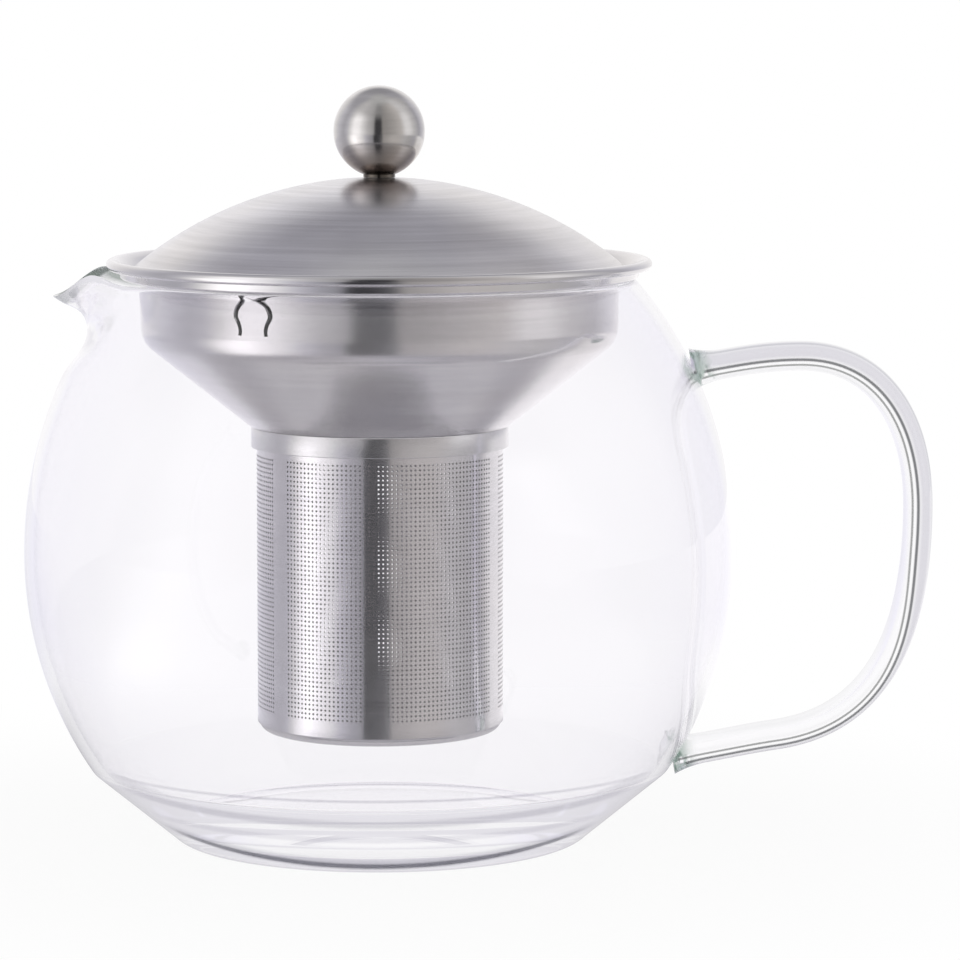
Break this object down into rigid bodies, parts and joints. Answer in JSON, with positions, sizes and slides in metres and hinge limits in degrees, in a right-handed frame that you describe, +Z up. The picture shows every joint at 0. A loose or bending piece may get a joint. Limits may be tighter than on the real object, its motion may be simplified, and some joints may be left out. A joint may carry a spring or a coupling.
{
  "type": "teapot",
  "caption": "Round glass jug with a drawn-out pouring lip and a looped glass handle, a hanging steel funnel with a perforated basket, and a domed steel lid with a ball knob",
  "frame": {"origin": "Centre of the flat under side of the jug, on the table", "axes": "+X from the jug's axis to the handle, -X to the pouring lip, +Y to the back, +Z up the jug's axis"},
  "size_m": [0.1939, 0.1516, 0.1611],
  "materials": {
    "jug_glass": "clear blown glass",
    "handle_glass": "clear solid glass strap",
    "satin_steel": "satin turned stainless steel sheet",
    "sleeve_steel": "perforated stainless steel sheet",
    "lid_steel": "satin stainless steel, brushed in circles",
    "knob_steel": "satin turned stainless steel",
    "bright_steel": "plain stainless steel"
  },
  "bodies": {
    "jug": {"glass_bowl": "jug_glass", "glass_shoulder": "jug_glass", "glass_handle": "handle_glass"},
    "infuser": {"infuser_funnel": "satin_steel", "neck_band": "bright_steel", "basket_sleeve": "sleeve_steel", "basket_base": "bright_steel"},
    "lid": {"lid_dome": "lid_steel", "lid_skirt": "bright_steel", "lid_knob": "knob_steel", "knob_screw": "bright_steel", "knob_washer": "bright_steel"}
  },
  "joints": [
    {"name": "infuser_lift", "type": "slide", "parent": "jug", "child": "infuser", "axis": [0, 0, 1], "range_m": [0, 0.11]},
    {"name": "lid_lift", "type": "slide", "parent": "infuser", "child": "lid", "axis": [0, 0, 1], "range_m": [0, 0.04]}
  ]
}
